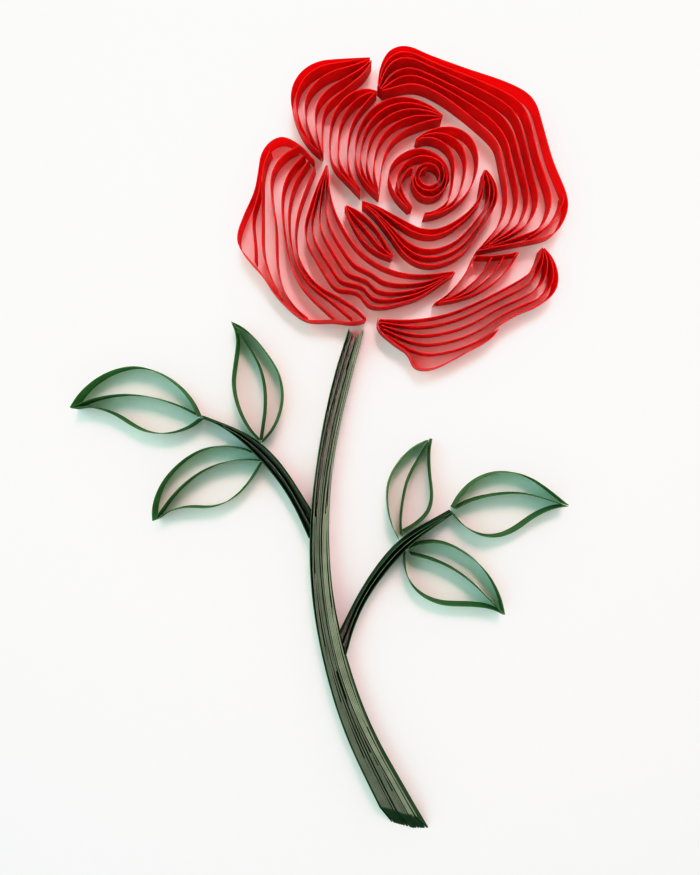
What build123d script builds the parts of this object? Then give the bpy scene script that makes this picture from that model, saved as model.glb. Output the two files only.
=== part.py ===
from build123d import *
import os
import numpy as np

# A long-stemmed rose in quilled paper: strips of coloured paper set on edge and glued to a white card.
# The card lies flat, its back on z = 0 and the middle of the back at the origin.
# +Y points to the top of the picture. Every line below is the middle of one strip, in millimetres.

# Driving dimensions
ROSE_HEIGHT = 222.0
CARD_WIDTH = 210.0
CARD_LENGTH = 297.0
CARD_THICKNESS = 1.5
STRIP_HEIGHT = 7.0
PAPER_THICKNESS = 0.3
GLUE_LINE = 0.06
BAND_PITCH = 0.44
FOOT_CUT_START = (8.8, -103.7)
FOOT_CUT_END = (19.0, -106.5)
FOOT_SLANT = 6.0
COIL_CENTRE = (22.0, 73.4)
COIL_START_RADIUS = 2.1
COIL_START_ANGLE = 50.0
COIL_TURNS = 1.95
COIL_PITCH = 1.25

# Paper is bent into flat facets: each turns at most this many degrees and is at most this long.
FACET_TURN = 13.0
FACET_LENGTH = 20.0

# How finely a line is followed: samples along a curve, and the step when strips are held apart.
SAMPLES = 240
SEARCH_STEP = 0.1

# The rose is drawn at this height, then brought to its own.
DRAWN_HEIGHT = 222.0
SCALE = ROSE_HEIGHT / DRAWN_HEIGHT

# Strips that meet stand face to face, with a line of glue between them.
ROOM = PAPER_THICKNESS + GLUE_LINE

# The solids of each node, and the lines of the strips that are in place.
nodes = {}
laid = []


# Lines

def even(line):
    """The same line, with its points evenly spaced."""
    steps = np.linalg.norm(np.diff(line, axis=0), axis=1)
    length = np.concatenate(([0.0], np.cumsum(steps)))
    wanted = np.linspace(0.0, length[-1], SAMPLES + 1)
    return np.column_stack([np.interp(wanted, length, line[:, axis]) for axis in (0, 1)])


def trace(*points):
    """A smooth line through a few points of the drawing."""
    curve = Spline(*[(SCALE * x, SCALE * y) for x, y in points])
    shares = np.linspace(0.0, 1.0, SAMPLES + 1)
    return even(np.array([tuple(curve.position_at(share))[:2] for share in shares]))


def fan(first_edge, last_edge, shares):
    """Lines between two edges. Each one's share of the way across goes from one value to another."""
    along = np.linspace(0.0, 1.0, SAMPLES + 1)[:, None]
    lines = []
    for at_start, at_end in shares:
        across = at_start + (at_end - at_start) * along
        lines.append(even(first_edge + (last_edge - first_edge) * across))
    return lines


def coil():
    """A spiral from the free end inside the coil to its outer turn."""
    turns = np.linspace(0.0, COIL_TURNS, SAMPLES + 1)
    radius = COIL_START_RADIUS + COIL_PITCH * turns
    angle = np.radians(COIL_START_ANGLE + 360.0 * turns)
    spiral = radius[:, None] * np.column_stack([np.cos(angle), np.sin(angle)])
    return SCALE * (np.array(COIL_CENTRE) + spiral)


# Strips

def facets(line, guide):
    """The corners of a strip bent along a line, close together where the guide beside it turns sharply."""
    steps = np.diff(guide, axis=0)
    heading = np.unwrap(np.arctan2(steps[:, 1], steps[:, 0]))
    turned = np.concatenate(([0.0, 0.0], np.cumsum(np.abs(np.diff(heading)))))
    travelled = np.concatenate(([0.0], np.cumsum(np.linalg.norm(steps, axis=1))))
    measure = np.degrees(turned) / FACET_TURN + travelled / FACET_LENGTH
    count = int(np.ceil(measure[-1]))
    wanted = np.linspace(0.0, measure[-1], count + 1)
    return np.column_stack([np.interp(wanted, measure, line[:, axis]) for axis in (0, 1)])


def is_clear(points):
    """Whether each point has room beside the nearest of the strips that are already in place."""
    if not laid:
        return np.full(len(points), True)
    starts = np.concatenate([corners[:-1] for corners in laid])
    spans = np.concatenate([np.diff(corners, axis=0) for corners in laid])
    offsets = points[:, None, :] - starts[None, :, :]
    share = np.clip((offsets * spans).sum(axis=2) / (spans * spans).sum(axis=1), 0.0, 1.0)
    return np.linalg.norm(offsets - share[:, :, None] * spans, axis=2).min(axis=1) >= ROOM


def cut_to_fit(corners):
    """The longest stretch of a strip that is clear of those in place, so that its ends butt on them."""
    steps = np.linalg.norm(np.diff(corners, axis=0), axis=1)
    length = np.concatenate(([0.0], np.cumsum(steps)))
    places = np.linspace(0.0, length[-1], int(length[-1] / SEARCH_STEP) + 2)
    points = np.column_stack([np.interp(places, length, corners[:, axis]) for axis in (0, 1)])
    clear = is_clear(points).astype(int)
    edges = np.flatnonzero(np.diff(np.concatenate(([0], clear, [0]))))
    starts, stops = edges[0::2], edges[1::2] - 1
    longest = np.argmax(stops - starts)
    first, last = places[starts[longest]], places[stops[longest]]
    kept = (length > first + PAPER_THICKNESS) & (length < last - PAPER_THICKNESS)
    ends = points[[starts[longest], stops[longest]]]
    return np.concatenate([ends[:1], corners[kept], ends[1:]])


def outline(corners):
    """The border of a strip seen from above, half its thickness to each side, with mitred bends."""
    along = np.diff(corners, axis=0)
    along = along / np.linalg.norm(along, axis=1)[:, None]
    before = np.concatenate([along[:1], along])
    after = np.concatenate([along, along[-1:]])
    bisector = before + after
    bisector = bisector / np.linalg.norm(bisector, axis=1)[:, None]
    stretch = 1.0 / (bisector * after).sum(axis=1)
    side = np.column_stack([-bisector[:, 1], bisector[:, 0]]) * stretch[:, None] * PAPER_THICKNESS / 2.0
    return np.concatenate([corners + side, (corners - side)[::-1]])


def strip(line, guide=None):
    """One paper strip on edge on the card, bent at the same places as its guide if it has one."""
    corners = cut_to_fit(facets(line, line if guide is None else guide))
    laid.append(corners)
    border = [(x, y, CARD_THICKNESS) for x, y in outline(corners)]
    face = Face(Wire.make_polygon(border, close=True))
    return Solid.extrude(face, Vector(0.0, 0.0, STRIP_HEIGHT))


def petal(name, rim, inner_edge, lines_between):
    """A petal: its rim strip, the strip along its inner edge, and the strips that lie between the two."""
    nodes[name + "_rim"] = [strip(rim)]
    nodes[name + "_fan"] = [strip(line) for line in [inner_edge, *lines_between]]


# Card

card = Box(CARD_WIDTH, CARD_LENGTH, CARD_THICKNESS, align=(Align.CENTER, Align.CENTER, Align.MIN))
nodes["backing_card"] = [card.solid()]

# Heart of the rose: a coil, with strips wrapped round it that run down to a point on its left

nodes["heart_coil"] = [strip(coil())]
nodes["heart_middle_wrap"] = [strip(trace(
    (17.8, 74.4), (17.6, 71.6), (19.0, 68.7), (22.1, 67.3), (25.3, 68.5), (27.1, 72.1), (26.4, 76.0),
    (23.5, 78.3), (19.6, 78.9), (15.7, 77.1), (13.6, 73.8), (13.3, 70.7), (14.6, 67.3), (17.0, 64.4)))]
nodes["heart_outer_wrap"] = [strip(trace(
    (27.8, 72.3), (27.0, 76.2), (24.1, 79.4), (19.0, 80.9), (14.6, 79.4), (11.5, 76.0), (11.1, 72.1),
    (12.6, 68.5), (16.5, 64.2)))]
nodes["heart_inner_wrap"] = [strip(trace(
    (18.2, 75.3), (16.8, 75.3), (15.1, 73.5), (14.3, 71.4), (14.7, 69.0), (15.9, 66.6), (17.4, 64.5)))]

# Petals round the heart

rim = trace(
    (26.0, 90.2), (19.9, 94.2), (13.2, 95.3), (7.3, 93.0), (3.1, 87.8), (1.5, 81.1), (2.2, 75.5),
    (4.8, 71.0), (8.1, 67.8))
inner = trace((25.8, 89.6), (18.9, 87.8), (12.3, 83.7), (9.8, 79.4), (8.7, 74.3), (8.2, 68.7))
petal("heart_left_petal", rim, inner, fan(rim, inner, [(0.20, 0.20), (0.43, 0.43), (0.70, 0.70)]))

rim = trace(
    (18.5, 83.6), (21.8, 85.8), (25.5, 86.9), (29.7, 86.7), (33.9, 83.9), (35.8, 79.1), (35.3, 73.8),
    (32.5, 68.2), (27.4, 64.1), (20.7, 62.2))
inner = trace(
    (18.8, 83.3), (21.3, 84.1), (25.2, 83.2), (28.3, 80.2), (29.3, 76.0), (28.8, 71.3), (27.4, 66.5),
    (24.6, 64.0), (21.0, 62.9))
petal("heart_right_petal", rim, inner, fan(rim, inner, [(0.50, 0.50)]))

rim = trace(
    (3.5, 65.5), (7.6, 61.7), (11.2, 57.0), (15.4, 51.5), (19.0, 49.1), (23.0, 48.4), (28.0, 49.6),
    (32.5, 52.6), (36.4, 58.0), (39.8, 63.4), (41.3, 68.2), (40.6, 71.3), (38.1, 75.0))
inner = trace(
    (3.4, 66.2), (8.4, 64.4), (14.6, 61.0), (19.6, 58.7), (23.5, 58.3), (28.6, 60.1), (33.6, 63.8),
    (36.4, 67.9), (37.1, 71.8), (37.7, 75.0))
petal("heart_lower_petal", rim, inner, fan(rim, inner, [(0.22, 0.20), (0.40, 0.48), (0.80, 0.88)]))

rim = trace((-1.4, 64.8), (0.0, 61.5), (2.2, 57.5), (5.0, 53.9), (8.4, 51.7), (11.6, 50.5))
inner = trace((-1.5, 65.2), (2.2, 63.4), (5.9, 60.3), (9.0, 56.1), (12.0, 51.0))
petal("small_petal", rim, inner, fan(rim, inner, [(0.50, 0.50)]))

# Outer petals on the left

rim = trace((7.5, 97.0), (2.0, 97.2), (-3.6, 92.5), (-5.7, 83.3), (-4.8, 77.1), (-1.1, 72.7),
            (2.8, 68.6))
inner = trace((7.0, 96.7), (4.2, 93.7), (1.4, 89.7), (-0.6, 81.9), (-0.3, 76.0), (2.8, 69.6))
petal("upper_left_petal", rim, inner, fan(rim, inner, [(0.47, 0.47)]))

rim = trace(
    (5.6, 106.4), (-2.8, 106.0), (-10.4, 104.6), (-15.1, 100.4), (-16.5, 94.8), (-15.8, 90.9),
    (-14.0, 86.4), (-8.4, 79.8))
inner = trace(
    (6.0, 105.7), (-0.3, 98.6), (-4.2, 95.5), (-6.9, 92.3), (-7.8, 88.1), (-7.8, 84.1), (-7.7, 79.8))
petal("top_left_petal", rim, inner, fan(rim, inner, [(0.15, 0.15), (0.42, 0.42), (0.75, 0.75)]))

rim = trace(
    (-10.1, 77.7), (-13.2, 81.1), (-16.2, 83.2), (-19.0, 84.1), (-22.4, 82.7), (-24.6, 79.7),
    (-25.6, 75.2), (-26.6, 69.6), (-31.2, 58.1), (-31.5, 55.3), (-30.2, 52.2), (-25.8, 47.2),
    (-21.8, 41.3), (-17.6, 36.8), (-14.0, 33.9), (-11.8, 33.0), (-5.6, 32.9), (0.0, 32.3), (4.2, 33.0))
inner = trace(
    (-9.9, 76.0), (-12.3, 69.9), (-14.4, 63.7), (-15.3, 57.5), (-14.6, 51.4), (-12.0, 46.1),
    (-7.8, 41.9), (-2.5, 38.9), (1.4, 36.3), (4.5, 33.4))
middle = trace(
    (-14.6, 81.6), (-18.5, 79.2), (-21.3, 75.5), (-22.2, 69.9), (-21.3, 63.4), (-20.7, 55.3),
    (-20.3, 47.5), (-18.5, 41.3), (-14.8, 36.0), (-11.8, 33.4))
beside_rim = trace(
    (-22.3, 80.6), (-24.1, 76.3), (-24.6, 69.3), (-24.6, 59.5), (-24.3, 51.9), (-22.4, 45.5),
    (-19.3, 39.3))
short = trace((-25.0, 72.1), (-26.0, 67.1), (-27.2, 62.3), (-27.0, 56.7), (-26.6, 49.1))
petal("far_left_petal", rim, inner, [
    middle, beside_rim, short, *fan(middle, inner, [(0.40, 0.45), (0.66, 0.76)])])

rim = trace(
    (-6.6, 76.3), (-9.0, 71.0), (-11.2, 64.8), (-12.6, 58.9), (-11.8, 54.2), (-9.2, 49.7), (-6.4, 44.9),
    (-3.9, 42.0), (0.6, 41.2), (3.1, 39.9), (5.0, 37.5), (7.6, 36.7), (13.4, 37.5), (18.5, 39.1),
    (24.1, 42.3), (29.4, 46.2))
inner = trace(
    (-6.3, 76.3), (-6.0, 71.5), (-4.5, 64.3), (-1.4, 57.8), (2.2, 52.9), (7.0, 49.1), (12.6, 46.6),
    (19.0, 45.6), (24.6, 45.9), (29.7, 46.5))
petal("lower_left_petal", rim, inner, fan(rim, inner, [(0.22, 0.20), (0.50, 0.38), (0.75, 0.64)]))

# Outer petals on the right

rim = trace(
    (7.8, 98.4), (8.7, 104.0), (11.5, 108.5), (14.8, 109.6), (21.0, 107.7), (32.2, 103.5), (44.8, 99.1),
    (51.2, 94.8), (53.5, 89.2), (56.0, 79.9), (59.4, 71.3), (61.0, 65.1), (59.9, 60.9), (57.4, 57.5),
    (50.4, 55.3), (43.4, 53.8), (35.6, 52.4))
inner = trace(
    (9.0, 97.2), (14.0, 98.6), (17.9, 99.0), (23.2, 97.3), (30.8, 92.3), (37.5, 86.7), (41.2, 82.5),
    (42.8, 76.0), (44.0, 68.7), (42.6, 61.2), (39.2, 56.4), (35.3, 51.9))
short = trace((60.1, 68.2), (58.6, 63.3), (55.1, 59.2), (50.2, 56.2))
petal("top_right_petal", rim, inner, [
    *fan(rim, inner, [(0.12, 0.33), (0.26, 0.58), (0.56, 0.68), (0.76, 0.84)]), short])

rim = trace((35.0, 51.1), (33.6, 48.0), (30.8, 43.8), (27.4, 40.2), (23.8, 37.7))
inner = trace((47.3, 51.9), (45.4, 48.6), (42.0, 44.8), (37.5, 41.6), (31.9, 39.3), (24.4, 37.8))
top = trace((35.0, 51.0), (41.2, 51.0), (47.2, 52.0))
petal("lower_right_petal", rim, inner, [top, *fan(rim, inner, [(0.42, 0.42), (0.70, 0.70)])])

rim = trace(
    (41.6, 30.3), (38.4, 27.0), (33.6, 24.5), (27.2, 21.0), (21.0, 19.2), (18.5, 20.0), (16.8, 23.1),
    (13.4, 25.9), (9.8, 28.7), (8.0, 30.9), (7.9, 33.4))
side = trace(
    (54.2, 53.2), (56.3, 50.8), (58.0, 46.9), (57.8, 41.9), (54.9, 38.4), (48.2, 35.3), (42.6, 31.9),
    (38.4, 28.7), (33.0, 25.8), (27.4, 24.1), (21.8, 23.5), (16.2, 25.2), (9.6, 29.2))
inner = trace(
    (54.0, 53.2), (53.5, 51.4), (51.4, 47.2), (47.3, 44.0), (40.9, 40.5), (33.6, 37.0), (25.2, 34.1),
    (17.4, 33.0), (8.3, 33.1))
petal("bottom_petal", rim, inner, [
    side, *fan(side, inner, [(0.15, 0.32), (0.42, 0.58), (0.72, 0.82)])])

# Stem: bands of strips glued face to face, with a single strip down the left side

def cut_on_slant(solid):
    """A stem strip with its lower end cut on a slant, so that it runs further along the card than on top."""
    start = Vector(*FOOT_CUT_START, 0.0) * SCALE
    along = Vector(*FOOT_CUT_END, 0.0) * SCALE - start
    outward = Vector(along.Y, -along.X, 0.0).normalized() * FOOT_SLANT
    normal = along.cross(outward - Vector(0.0, 0.0, STRIP_HEIGHT))
    cut = Plane(origin=start + Vector(0.0, 0.0, CARD_THICKNESS + STRIP_HEIGHT), x_dir=along, z_dir=normal)
    return solid.split(cut, keep=Keep.TOP)


def band(name, guide, first_edge, last_edge):
    """Strips face to face from the first edge on, each running where there is room before the last edge."""
    across = last_edge - first_edge
    width = np.linalg.norm(across, axis=1)
    lines = [first_edge, last_edge]
    for number in range(1, int(width.max() / BAND_PITCH)):
        share = np.minimum(number * BAND_PITCH / width, 1.0)
        lines.append(first_edge + across * share[:, None])
    nodes[name] = [cut_on_slant(strip(line, guide)) for line in lines]


stem_side = trace(
    (-0.3, 30.4), (-6.0, 10.5), (-9.5, -9.1), (-11.2, -28.7), (-10.4, -45.5), (-7.0, -64.3),
    (-1.4, -82.5), (9.9, -106.5), (12.9, -112.5))
nodes["stem_side_strip"] = [cut_on_slant(strip(stem_side))]
band(
    "stem_left_band", stem_side,
    trace((0.4, 29.1), (-5.0, 10.5), (-9.0, -9.1), (-10.3, -28.7), (-9.7, -45.5), (-6.4, -64.3),
          (-0.8, -82.5), (10.6, -106.5), (13.7, -112.5)),
    trace((0.5, 29.1), (-4.9, 10.5), (-8.8, -9.1), (-9.8, -28.7), (-8.7, -45.5), (-5.1, -64.3),
          (1.2, -82.5), (12.9, -106.5), (16.0, -112.5)))
band(
    "stem_middle_band", stem_side,
    trace((1.6, 28.2), (-3.8, 10.5), (-7.7, -9.1), (-9.3, -28.7), (-8.2, -45.5), (-4.5, -64.3),
          (2.0, -82.5), (13.6, -106.5), (16.8, -112.5)),
    trace((2.3, 28.7), (-2.6, 10.5), (-6.7, -9.1), (-8.3, -28.7), (-7.1, -45.5), (-3.5, -64.3),
          (3.4, -82.5), (16.6, -106.5), (19.8, -112.5)))
band(
    "stem_right_band", stem_side,
    trace((2.85, 29.0), (-2.0, 10.5), (-5.9, -9.1), (-7.6, -28.7), (-6.6, -45.5), (-2.9, -64.3),
          (4.1, -82.5), (17.3, -106.5), (20.5, -112.5)),
    trace((3.6, 30.1), (-1.4, 10.5), (-5.2, -9.1), (-6.2, -28.7), (-5.0, -45.5), (-0.8, -64.3),
          (5.8, -82.5), (19.0, -106.5), (22.4, -112.5)))

# Branches: three strips side by side, drawn together at the tips

def branch(name, first_edge, last_edge, shares):
    """Strips side by side, the two outer ones first, each a node of its own."""
    lines = [first_edge, last_edge] + fan(first_edge, last_edge, shares)
    for number, line in enumerate(lines, start=1):
        nodes[name + "_strip_" + str(number)] = [strip(line)]


branch(
    "left_branch",
    trace((-42.0, 6.1), (-33.0, 2.5), (-26.3, -1.4), (-20.7, -6.7), (-16.5, -12.5), (-10.8, -21.6)),
    trace((-42.0, 5.6), (-35.8, 2.9), (-29.9, -1.5), (-24.1, -7.4), (-18.8, -14.1), (-14.8, -21.0),
          (-11.0, -29.2)),
    [(0.45, 0.50)])

branch(
    "right_branch",
    trace((28.6, -20.9), (19.6, -26.0), (13.4, -30.5), (8.4, -36.1), (3.9, -42.7), (0.3, -49.4),
          (-3.2, -56.2)),
    trace((28.7, -21.4), (25.2, -23.9), (19.6, -28.0), (14.0, -33.2), (9.0, -39.1), (4.5, -45.8),
          (1.1, -53.3), (-1.6, -62.6)),
    [(0.50, 0.50)])

# Leaves: two sides and a vein that meet at the tip and at the branch

def leaf(name, upper_side, lower_side, vein):
    """A leaf: its two sides bent to a point, and the vein between them."""
    nodes[name + "_upper_side"] = [strip(upper_side)]
    nodes[name + "_lower_side"] = [strip(lower_side)]
    nodes[name + "_vein"] = [strip(vein)]


leaf(
    "left_tip_leaf",
    trace((-78.5, 8.4), (-73.9, 14.3), (-65.2, 19.2), (-60.5, 19.9), (-53.2, 17.8), (-47.3, 13.3),
          (-42.8, 6.0)),
    trace((-78.4, 8.2), (-72.2, 8.4), (-65.2, 5.9), (-59.6, 2.5), (-54.3, 1.2), (-48.2, 2.0),
          (-42.4, 5.3)),
    trace((-78.1, 8.5), (-72.8, 10.6), (-62.4, 12.1), (-53.2, 10.6), (-42.4, 5.9)))

leaf(
    "left_upper_leaf",
    trace((-33.3, 32.5), (-28.8, 29.8), (-24.1, 24.5), (-20.4, 18.3), (-19.2, 11.9), (-20.4, 5.7),
          (-25.2, -1.3)),
    trace((-33.2, 32.1), (-31.8, 27.3), (-32.5, 21.1), (-33.0, 15.3), (-31.9, 9.4), (-29.4, 3.8),
          (-25.9, -0.6)),
    trace((-32.5, 30.7), (-28.8, 25.8), (-25.8, 20.4), (-24.2, 13.9), (-24.2, 7.1), (-25.3, -0.7)))

leaf(
    "left_lower_leaf",
    trace((-55.3, -23.4), (-55.2, -18.9), (-52.4, -12.2), (-47.3, -6.7), (-40.0, -2.9), (-33.6, -2.6),
          (-26.3, -4.8)),
    trace((-54.6, -23.1), (-49.8, -20.4), (-45.9, -19.6), (-40.6, -19.7), (-35.0, -18.2),
          (-30.0, -14.1), (-25.2, -7.0)),
    trace((-54.9, -23.1), (-50.4, -16.9), (-44.8, -11.5), (-37.8, -7.7), (-30.8, -6.3), (-25.6, -6.5)))

leaf(
    "right_upper_leaf",
    trace((22.0, -0.8), (17.1, -3.6), (13.2, -8.0), (10.9, -13.0), (10.6, -18.3), (11.6, -23.9),
          (13.7, -28.6)),
    trace((23.0, -0.3), (22.4, -6.3), (22.8, -11.6), (23.2, -15.8), (22.4, -20.3), (19.6, -23.7),
          (15.1, -26.6)),
    trace((22.4, -1.3), (19.2, -6.4), (16.4, -11.9), (15.0, -17.8), (14.4, -23.4), (14.6, -27.7)))

leaf(
    "right_tip_leaf",
    trace((29.1, -19.9), (32.2, -15.1), (37.2, -11.2), (44.0, -9.7), (50.4, -11.2), (56.0, -14.8),
          (61.3, -19.0)),
    trace((29.0, -21.4), (32.2, -24.8), (36.7, -27.4), (40.9, -27.9), (45.6, -26.5), (50.7, -23.1),
          (55.7, -20.4), (61.0, -19.3)),
    trace((29.7, -20.0), (35.0, -17.5), (42.0, -16.0), (48.2, -15.8), (54.6, -17.1), (60.8, -19.2)))

leaf(
    "right_lower_leaf",
    trace((16.2, -31.5), (19.9, -30.0), (25.2, -29.6), (31.1, -31.8), (36.4, -35.7), (40.6, -41.3),
          (43.4, -49.7)),
    trace((15.8, -31.5), (15.5, -35.7), (17.1, -41.0), (20.7, -44.7), (25.8, -46.8), (33.6, -47.3),
          (43.1, -49.7)),
    trace((17.1, -32.9), (23.5, -34.6), (30.0, -37.7), (36.4, -42.8), (43.0, -49.6)))

# One file for each node

os.makedirs("parts", exist_ok=True)
for name, solids in nodes.items():
    shape = solids[0] if len(solids) == 1 else Compound(solids)
    export_step(shape, "parts/" + name + ".step")
print(len(nodes), "nodes,", sum(len(solids) for solids in nodes.values()), "solids")
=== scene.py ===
import math

import bpy
import mathutils
import numpy as np
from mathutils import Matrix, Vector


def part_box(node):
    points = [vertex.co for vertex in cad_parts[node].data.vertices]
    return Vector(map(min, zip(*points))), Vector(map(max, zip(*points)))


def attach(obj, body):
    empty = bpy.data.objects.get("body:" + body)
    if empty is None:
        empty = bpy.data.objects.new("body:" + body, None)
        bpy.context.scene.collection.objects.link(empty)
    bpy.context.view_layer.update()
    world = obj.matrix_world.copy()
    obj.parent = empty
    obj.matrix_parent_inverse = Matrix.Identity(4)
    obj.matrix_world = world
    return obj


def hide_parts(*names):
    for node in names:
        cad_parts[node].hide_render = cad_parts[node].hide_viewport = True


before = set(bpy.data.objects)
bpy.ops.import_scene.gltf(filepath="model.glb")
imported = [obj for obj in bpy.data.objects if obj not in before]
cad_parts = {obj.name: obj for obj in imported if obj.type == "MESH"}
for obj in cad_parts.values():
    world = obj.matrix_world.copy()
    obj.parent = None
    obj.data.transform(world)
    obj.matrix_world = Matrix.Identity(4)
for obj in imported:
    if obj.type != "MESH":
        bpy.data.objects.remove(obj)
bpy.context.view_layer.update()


# Card: a flat sheet of white mount board, matte, with a faint fibre grain.
# Every strip of paper is glued on edge to its face.
# The CAD sheet is shown as it is, with its cut corners eased by a small bevel.

def paper(name, colour, mottle, grain_depth,
          sheer=0.0, sheen=0.0, roughness=0.8, gloss=0.15, ior=1.2):
    """Paper whose colour varies in soft clouds by the share mottle, with a fibre grain of a given depth.

    Sheer is the share of light that passes through, and sheen is the glow of the fibres.
    A lower roughness with more gloss makes the paper satin.
    """
    clouds_per_metre = 260.0
    cloud_detail = 3.0
    dark_cloud = 0.3
    light_cloud = 0.7
    fibres_per_metre = 3500.0
    fibre_detail = 4.0
    grain_strength = 0.35
    darker = [c * (1.0 - mottle) for c in colour]
    lighter = [min(1.0, c * (1.0 + mottle)) for c in colour]
    glow = [math.sqrt(c) for c in colour]
    material = bpy.data.materials.new(name)
    material.use_nodes = True
    nodes = material.node_tree.nodes
    links = material.node_tree.links
    shader = nodes["Principled BSDF"]
    shader.inputs["Roughness"].default_value = roughness
    shader.inputs["Specular IOR Level"].default_value = gloss
    shader.inputs["Transmission Weight"].default_value = sheer
    shader.inputs["IOR"].default_value = ior
    shader.inputs["Sheen Weight"].default_value = sheen
    shader.inputs["Sheen Tint"].default_value = glow + [1.0]
    place = nodes.new("ShaderNodeTexCoord")
    cloud = nodes.new("ShaderNodeTexNoise")
    cloud.inputs["Scale"].default_value = clouds_per_metre
    cloud.inputs["Detail"].default_value = cloud_detail
    tint = nodes.new("ShaderNodeValToRGB")
    tint.color_ramp.elements[0].position = dark_cloud
    tint.color_ramp.elements[0].color = darker + [1.0]
    tint.color_ramp.elements[1].position = light_cloud
    tint.color_ramp.elements[1].color = lighter + [1.0]
    fibre = nodes.new("ShaderNodeTexNoise")
    fibre.inputs["Scale"].default_value = fibres_per_metre
    fibre.inputs["Detail"].default_value = fibre_detail
    grain = nodes.new("ShaderNodeBump")
    grain.inputs["Strength"].default_value = grain_strength
    grain.inputs["Distance"].default_value = grain_depth
    links.new(place.outputs["Object"], cloud.inputs["Vector"])
    links.new(place.outputs["Object"], fibre.inputs["Vector"])
    links.new(cloud.outputs["Fac"], tint.inputs["Fac"])
    links.new(tint.outputs["Color"], shader.inputs["Base Color"])
    links.new(fibre.outputs["Fac"], grain.inputs["Height"])
    links.new(grain.outputs["Normal"], shader.inputs["Normal"])
    return material


card_grain = 0.00003
card_bevel = 0.0003
white_card = paper("white card", colour=(0.92, 0.92, 0.91), mottle=0.008, grain_depth=card_grain)
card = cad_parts["backing_card"]
card.data.materials.clear()
card.data.materials.append(white_card)
eased = card.modifiers.new("eased corners", "BEVEL")
eased.width = card_bevel
eased.segments = 2


# Rose: strips of red paper bent into a coil, its wraps and eleven petals, each glued on edge to the card.
# The paper is satin and lets light through, and along the top its cut edge is painted a paler red as a
# painted highlight.
# A CAD strip is bent in flat facets. Here it is rebuilt as one smooth bend through the same corners.

def line_length(line):
    """The length of a line of points."""
    return np.linalg.norm(np.diff(line, axis=0), axis=1).sum()


def middle_line(points, triangles):
    """The line along the middle of a strip's flat face, between the two sides of its outline."""
    longest_end = 0.0007
    edges = np.concatenate([triangles[:, [0, 1]], triangles[:, [1, 2]], triangles[:, [2, 0]]])
    known = {tuple(edge) for edge in edges}
    # An edge of the outline belongs to one triangle only, so it isn't met the other way round.
    following = {a: b for a, b in known if (b, a) not in known}
    start = next(iter(following))
    loop = [start]
    while following[loop[-1]] != start:
        loop.append(following[loop[-1]])
    outline = points[loop]
    length = np.linalg.norm(np.roll(outline, -1, axis=0) - outline, axis=1)
    travelled = np.cumsum(length)
    # The strip's two cut ends are the short edges that lie nearest to half the outline apart.
    ends = np.flatnonzero(length < longest_end)
    apart = np.abs(travelled[ends][None, :] - travelled[ends][:, None])
    first, last = np.unravel_index(np.argmin(np.abs(apart - travelled[-1] / 2.0)), apart.shape)
    first, last = sorted((ends[first], ends[last]))
    one_side = outline[first + 1:last + 1]
    other_side = np.roll(outline, -(last + 1), axis=0)[:len(outline) - (last - first)]
    fewer, more = sorted((one_side, other_side), key=len)
    distance = np.linalg.norm(fewer[:, None, :] - more[None, :, :], axis=2)
    return (fewer + more[distance.argmin(axis=1)]) / 2.0


def foot_lines(node):
    """For each strip of a CAD node: the line along its foot, its height, and how far its end slants."""
    decimals = 7
    flat_within = 0.00001
    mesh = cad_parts[node].data
    places = np.round([vertex.co for vertex in mesh.vertices], decimals)
    points, point_at = np.unique(places, axis=0, return_inverse=True)
    point_at = point_at.ravel()
    triangles = np.array([[point_at[v] for v in face.vertices] for face in mesh.polygons])
    # Points that triangles join, directly or in turn, end up with the same label: one label for each strip.
    label = np.arange(len(points))
    changed = True
    while changed:
        before = label.copy()
        np.minimum.at(label, triangles, label[triangles].min(axis=1)[:, None])
        changed = bool((label != before).any())
    strips = []
    for strip in np.unique(label):
        own = triangles[label[triangles[:, 0]] == strip]
        heights = points[own][:, :, 2]
        foot = middle_line(points, own[(heights < heights.min() + flat_within).all(axis=1)])
        top = middle_line(points, own[(heights > heights.max() - flat_within).all(axis=1)])
        slant = line_length(foot) - line_length(top)
        # The line runs towards the slanted end, so it starts where the foot and the top start together.
        if np.linalg.norm(top[[0, -1], :2] - foot[0, :2], axis=1).min() > slant / 2.0:
            foot = foot[::-1]
        strips.append((foot, heights.max() - heights.min(), slant))
    return strips


def between(a, b, t, t_a, t_b):
    """The point at t on the straight way from a, reached at t_a, to b, reached at t_b."""
    return a + (b - a) * (t - t_a) / (t_b - t_a)


def bend(points, counts):
    """A smooth line through the corners of a faceted one, with a count of steps for each facet."""
    before = 2.0 * points[0] - points[1]
    after = 2.0 * points[-1] - points[-2]
    line = np.concatenate([[before], points, [after]])
    knots = np.concatenate([[0.0], np.cumsum(np.sqrt(np.linalg.norm(np.diff(line, axis=0), axis=1)))])
    smooth = []
    for i in range(1, len(line) - 2):
        t0, t1, t2, t3 = knots[i - 1:i + 3]
        t = np.linspace(t1, t2, counts[i - 1], endpoint=False)[:, None]
        a1 = between(line[i - 1], line[i], t, t0, t1)
        a2 = between(line[i], line[i + 1], t, t1, t2)
        a3 = between(line[i + 1], line[i + 2], t, t2, t3)
        b1 = between(a1, a2, t, t0, t2)
        b2 = between(a2, a3, t, t1, t3)
        smooth.append(between(b1, b2, t, t1, t2))
    return np.concatenate(smooth + [points[-1:]])


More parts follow.
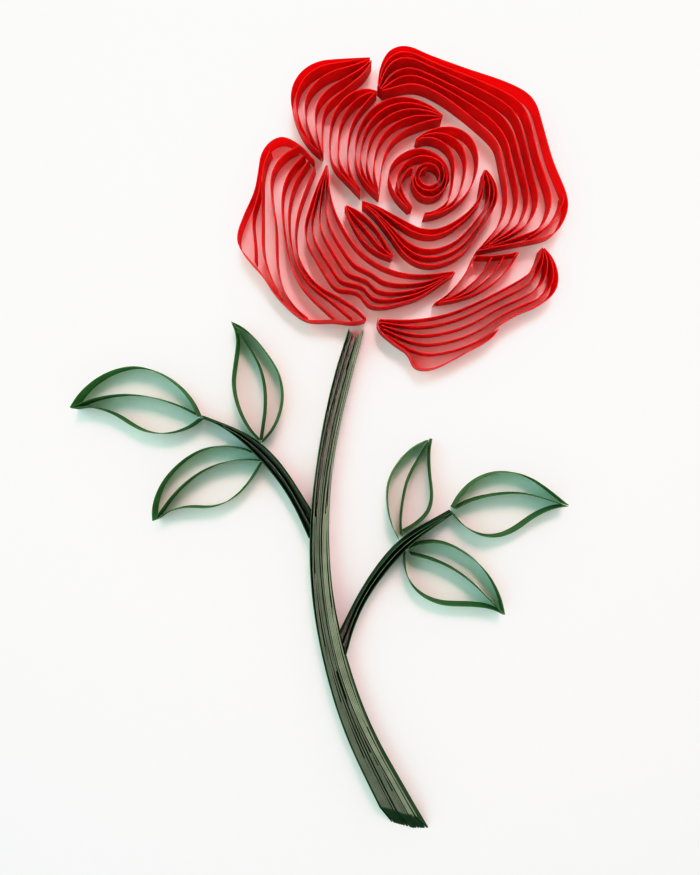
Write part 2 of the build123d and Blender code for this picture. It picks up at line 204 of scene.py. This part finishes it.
def strip_rows(corners, full_height, slant, thickness, softening):
    """Rows of points along a smooth strip, up one wall and down the other, and where it is full height."""
    step = 0.0007
    fewest_steps = 2
    lengths = np.linalg.norm(np.diff(corners, axis=0), axis=1)
    foot = bend(corners, [max(fewest_steps, int(length / step)) for length in lengths])
    count = len(foot)
    ahead = np.gradient(foot[:, :2], axis=0)
    ahead = ahead / np.linalg.norm(ahead, axis=1)[:, None]
    side = np.column_stack([-ahead[:, 1], ahead[:, 0], np.zeros(count)]) * thickness / 2.0
    # The top comes down over a slanted end, to a low lip at its tip.
    lip = 2.0 * softening
    height = np.full(count, full_height)
    if slant >= thickness:
        to_end = np.cumsum(np.linalg.norm(np.diff(foot[::-1], axis=0), axis=1))[::-1]
        to_end = np.append(to_end, 0.0)
        height = full_height * np.clip(to_end / slant, lip / full_height, 1.0)
    # One wall goes up to a shoulder and in to the softened top, and the other wall goes down the same way.
    rise = np.column_stack([np.zeros(count), np.zeros(count), height])
    shoulder = rise - np.array([0.0, 0.0, softening])
    narrow = 1.0 - 2.0 * softening / thickness
    rows = [foot + side, foot + shoulder + side, foot + rise + side * narrow,
            foot + rise - side * narrow, foot + shoulder - side, foot - side]
    return rows, height == full_height


def strips_of(node, wall, edge_highlight, thickness=0.00024, softening=0.00007):
    """Smooth paper strips that stand for a CAD node, their softened cut edges along the top in a painted
    highlight.
    """
    wall_finish = 0
    edge_finish = 1
    top_row = 2
    sharp_turn = math.radians(35.0)
    vertices = []
    faces = []
    finishes = []
    for corners, full_height, slant in foot_lines(node):
        rows, is_full = strip_rows(corners, full_height, slant, thickness, softening)
        around = len(rows)
        first = len(vertices)
        last = first + (len(is_full) - 1) * around
        vertices.extend(np.stack(rows, axis=1).reshape(-1, 3).tolist())
        # Top faces at full height take the cut edge's painted highlight; over a slanted end the top keeps
        # the wall's colour.
        for here, ends_full in zip(range(first, last, around), is_full[1:]):
            for j in range(around):
                k = (j + 1) % around
                faces.append((here + j, here + k, here + around + k, here + around + j))
                finishes.append(edge_finish if j == top_row and ends_full else wall_finish)
        faces.append(tuple(first + j for j in reversed(range(around))))
        faces.append(tuple(last + j for j in range(around)))
        finishes.extend([wall_finish, wall_finish])
    mesh = bpy.data.meshes.new(node + "_paper")
    mesh.from_pydata(vertices, [], faces)
    mesh.materials.append(wall)
    mesh.materials.append(edge_highlight)
    mesh.polygons.foreach_set("material_index", finishes)
    mesh.polygons.foreach_set("use_smooth", [True] * len(faces))
    mesh.set_sharp_from_angle(angle=sharp_turn)
    mesh.update()
    piece = bpy.data.objects.new(node + "_paper", mesh)
    bpy.context.scene.collection.objects.link(piece)
    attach(piece, "root")
    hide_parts(node)


strip_grain = 0.00002
red_wall = paper("red paper", colour=(0.93, 0.006, 0.010), mottle=0.04, grain_depth=strip_grain,
                 sheer=0.75, roughness=0.5, gloss=0.45, ior=1.3)
# A paler red painted on the cut edges, a painted highlight along the top of each strip.
red_highlight_edge = paper("red paper, painted edge highlight", colour=(0.80, 0.06, 0.06), mottle=0.10, grain_depth=strip_grain)
for node in sorted(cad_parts):
    if node.startswith("heart") or "petal" in node:
        strips_of(node, red_wall, red_highlight_edge)


# Stem: a side strip and three bands of deep green strips, glued face to face and on edge to the card.
# A band's cut edges lie side by side in a grey green painted highlight, dimmed by painted shade except in
# the right band.
# They are drawn thicker than the other strips, so that they nearly close up as glued strips do.

deep_wall = paper("deep green paper", colour=(0.036, 0.095, 0.045), mottle=0.08, grain_depth=strip_grain,
                  sheer=0.3)
# A paler green painted on the cut edges of the side strip, branches and leaves, a painted highlight.
green_highlight_edge = paper("green paper, painted edge highlight", colour=(0.10, 0.20, 0.10), mottle=0.12, grain_depth=strip_grain)
# Lit and shaded copies of one edge: the grey one is a painted highlight dimmed as painted shade, the pale
# one a bright painted highlight.
dim_highlight_edge = paper("grey green, dim painted edge highlight", colour=(0.140, 0.160, 0.124), mottle=0.12, grain_depth=strip_grain)
bright_highlight_edge = paper("pale green, bright painted edge highlight", colour=(0.215, 0.245, 0.187), mottle=0.12, grain_depth=strip_grain)
band_thickness = 0.00042
band_softening = 0.00003
strips_of("stem_side_strip", deep_wall, green_highlight_edge)
for node, band_edge in [("stem_left_band", dim_highlight_edge),
                        ("stem_middle_band", dim_highlight_edge),
                        ("stem_right_band", bright_highlight_edge)]:
    strips_of(node, deep_wall, band_edge, band_thickness, band_softening)


# Branches: one to the left and one to the right, each of three strips of the stem's deep green paper.
# They are glued on edge from the stem out to the leaves, the third strip of each with a brighter painted
# edge highlight.

for node in sorted(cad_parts):
    if "branch" in node:
        strips_of(node, deep_wall, bright_highlight_edge if node.endswith("strip_3") else green_highlight_edge)


# Leaves: six, each of two bent side strips and a vein strip between them, glued on edge to the card.
# Their paper is a brighter green that lets more light through, with a soft glow of fibres.

leaf_wall = paper("leaf green paper", colour=(0.062, 0.200, 0.064), mottle=0.08, grain_depth=strip_grain,
                  sheer=0.8, sheen=0.3)
# Their cut edges carry the green painted highlight.
for node in sorted(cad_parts):
    if "leaf" in node:
        strips_of(node, leaf_wall, green_highlight_edge)


# Floor: a plain pale table under the card, wide enough to reach the horizon. It isn't part of the object.
# It lies a little below the card's back, so that the two faces don't share a place.

floor_size = 40.0
floor_drop = 0.0002
floor_grain = 0.00002
pale_floor = paper("pale floor", colour=(0.60, 0.60, 0.59), mottle=0.01, grain_depth=floor_grain)
bpy.ops.mesh.primitive_plane_add(size=floor_size, location=(0.0, 0.0, -floor_drop))
floor = bpy.context.object
floor.name = "floor"
floor.data.materials.append(pale_floor)


# Light: a room that is bright round the horizon and dim overhead, so the walls of the strips are lit.
# Three soft lights join it: a warm one from the upper right, a cool one from the left,
# and a narrow rosy one on the flower, from beyond the top of the card.

room_colour = (0.95, 1.0, 0.96, 1.0)
horizon_strength = 1.35
overhead_strength = 0.13
world = bpy.data.worlds.new("room")
bpy.context.scene.world = world
world.use_nodes = True
room = world.node_tree.nodes["Background"]
room.inputs["Color"].default_value = room_colour
direction = world.node_tree.nodes.new("ShaderNodeTexCoord")
split = world.node_tree.nodes.new("ShaderNodeSeparateXYZ")
fade = world.node_tree.nodes.new("ShaderNodeMapRange")
fade.inputs["To Min"].default_value = horizon_strength
fade.inputs["To Max"].default_value = overhead_strength
world.node_tree.links.new(direction.outputs["Generated"], split.inputs["Vector"])
world.node_tree.links.new(split.outputs["Z"], fade.inputs["Value"])
world.node_tree.links.new(fade.outputs["Result"], room.inputs["Strength"])


def soft_light(name, position, target, colour, power, size, spread=180.0):
    """A square soft light that faces a place on the card, with the spread of its beam in degrees."""
    light_data = bpy.data.lights.new(name, "AREA")
    light_data.color = colour
    light_data.energy = power
    light_data.size = size
    light_data.spread = math.radians(spread)
    light = bpy.data.objects.new(name, light_data)
    light.location = position
    toward = mathutils.Vector(target) - light.location
    light.rotation_mode = "QUATERNION"
    light.rotation_quaternion = toward.to_track_quat("-Z", "Y")
    light.visible_camera = False
    bpy.context.scene.collection.objects.link(light)


card_middle = (0.0, 0.0, 0.0)
rose_middle = (0.014, 0.070, 0.0)
soft_light("warm light", position=(0.46, 0.64, 0.80), target=card_middle, colour=(1.0, 0.62, 0.68),
           power=2.0, size=0.8)
soft_light("cool light", position=(-0.60, 0.10, 0.80), target=card_middle, colour=(0.50, 1.0, 0.93),
           power=2.8, size=0.8)
soft_light("rose light", position=(0.06, 0.42, 0.55), target=rose_middle, colour=(1.0, 0.58, 0.58),
           power=0.145, size=0.3, spread=30.0)


# Camera: straight above the middle of the card, at the distance that the strips' lean in the photo gives.
# The tall side of the picture takes in seen_length of the card's face from view_height above it.
# The tone curve deepens the shade, lifts the middle tones and eases off towards white.

view_height = 0.2414
seen_length = 0.2523
camera_data = bpy.data.cameras.new("camera")
camera_data.sensor_width = 36.0
camera_data.lens = camera_data.sensor_width * view_height / seen_length
camera_data.clip_start = 0.01
camera = bpy.data.objects.new("camera", camera_data)
camera.location = (0.0, 0.0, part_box("backing_card")[1].z + view_height)
bpy.context.scene.collection.objects.link(camera)
bpy.context.scene.camera = camera
tone_points = [(0.025, 0.013), (0.095, 0.085), (0.22, 0.29), (0.42, 0.60), (0.62, 0.87), (0.80, 0.945)]
brightest_tone = (1.1, 0.975)
all_colours = 3
view = bpy.context.scene.view_settings
view.view_transform = "Standard"
view.use_curve_mapping = True
view.curve_mapping.clip_max_x = 2.0
tone_curve = view.curve_mapping.curves[all_colours]
for scene_light, picture_light in tone_points:
    tone_curve.points.new(scene_light, picture_light)
tone_curve.points[-1].location = brightest_tone
view.curve_mapping.update()
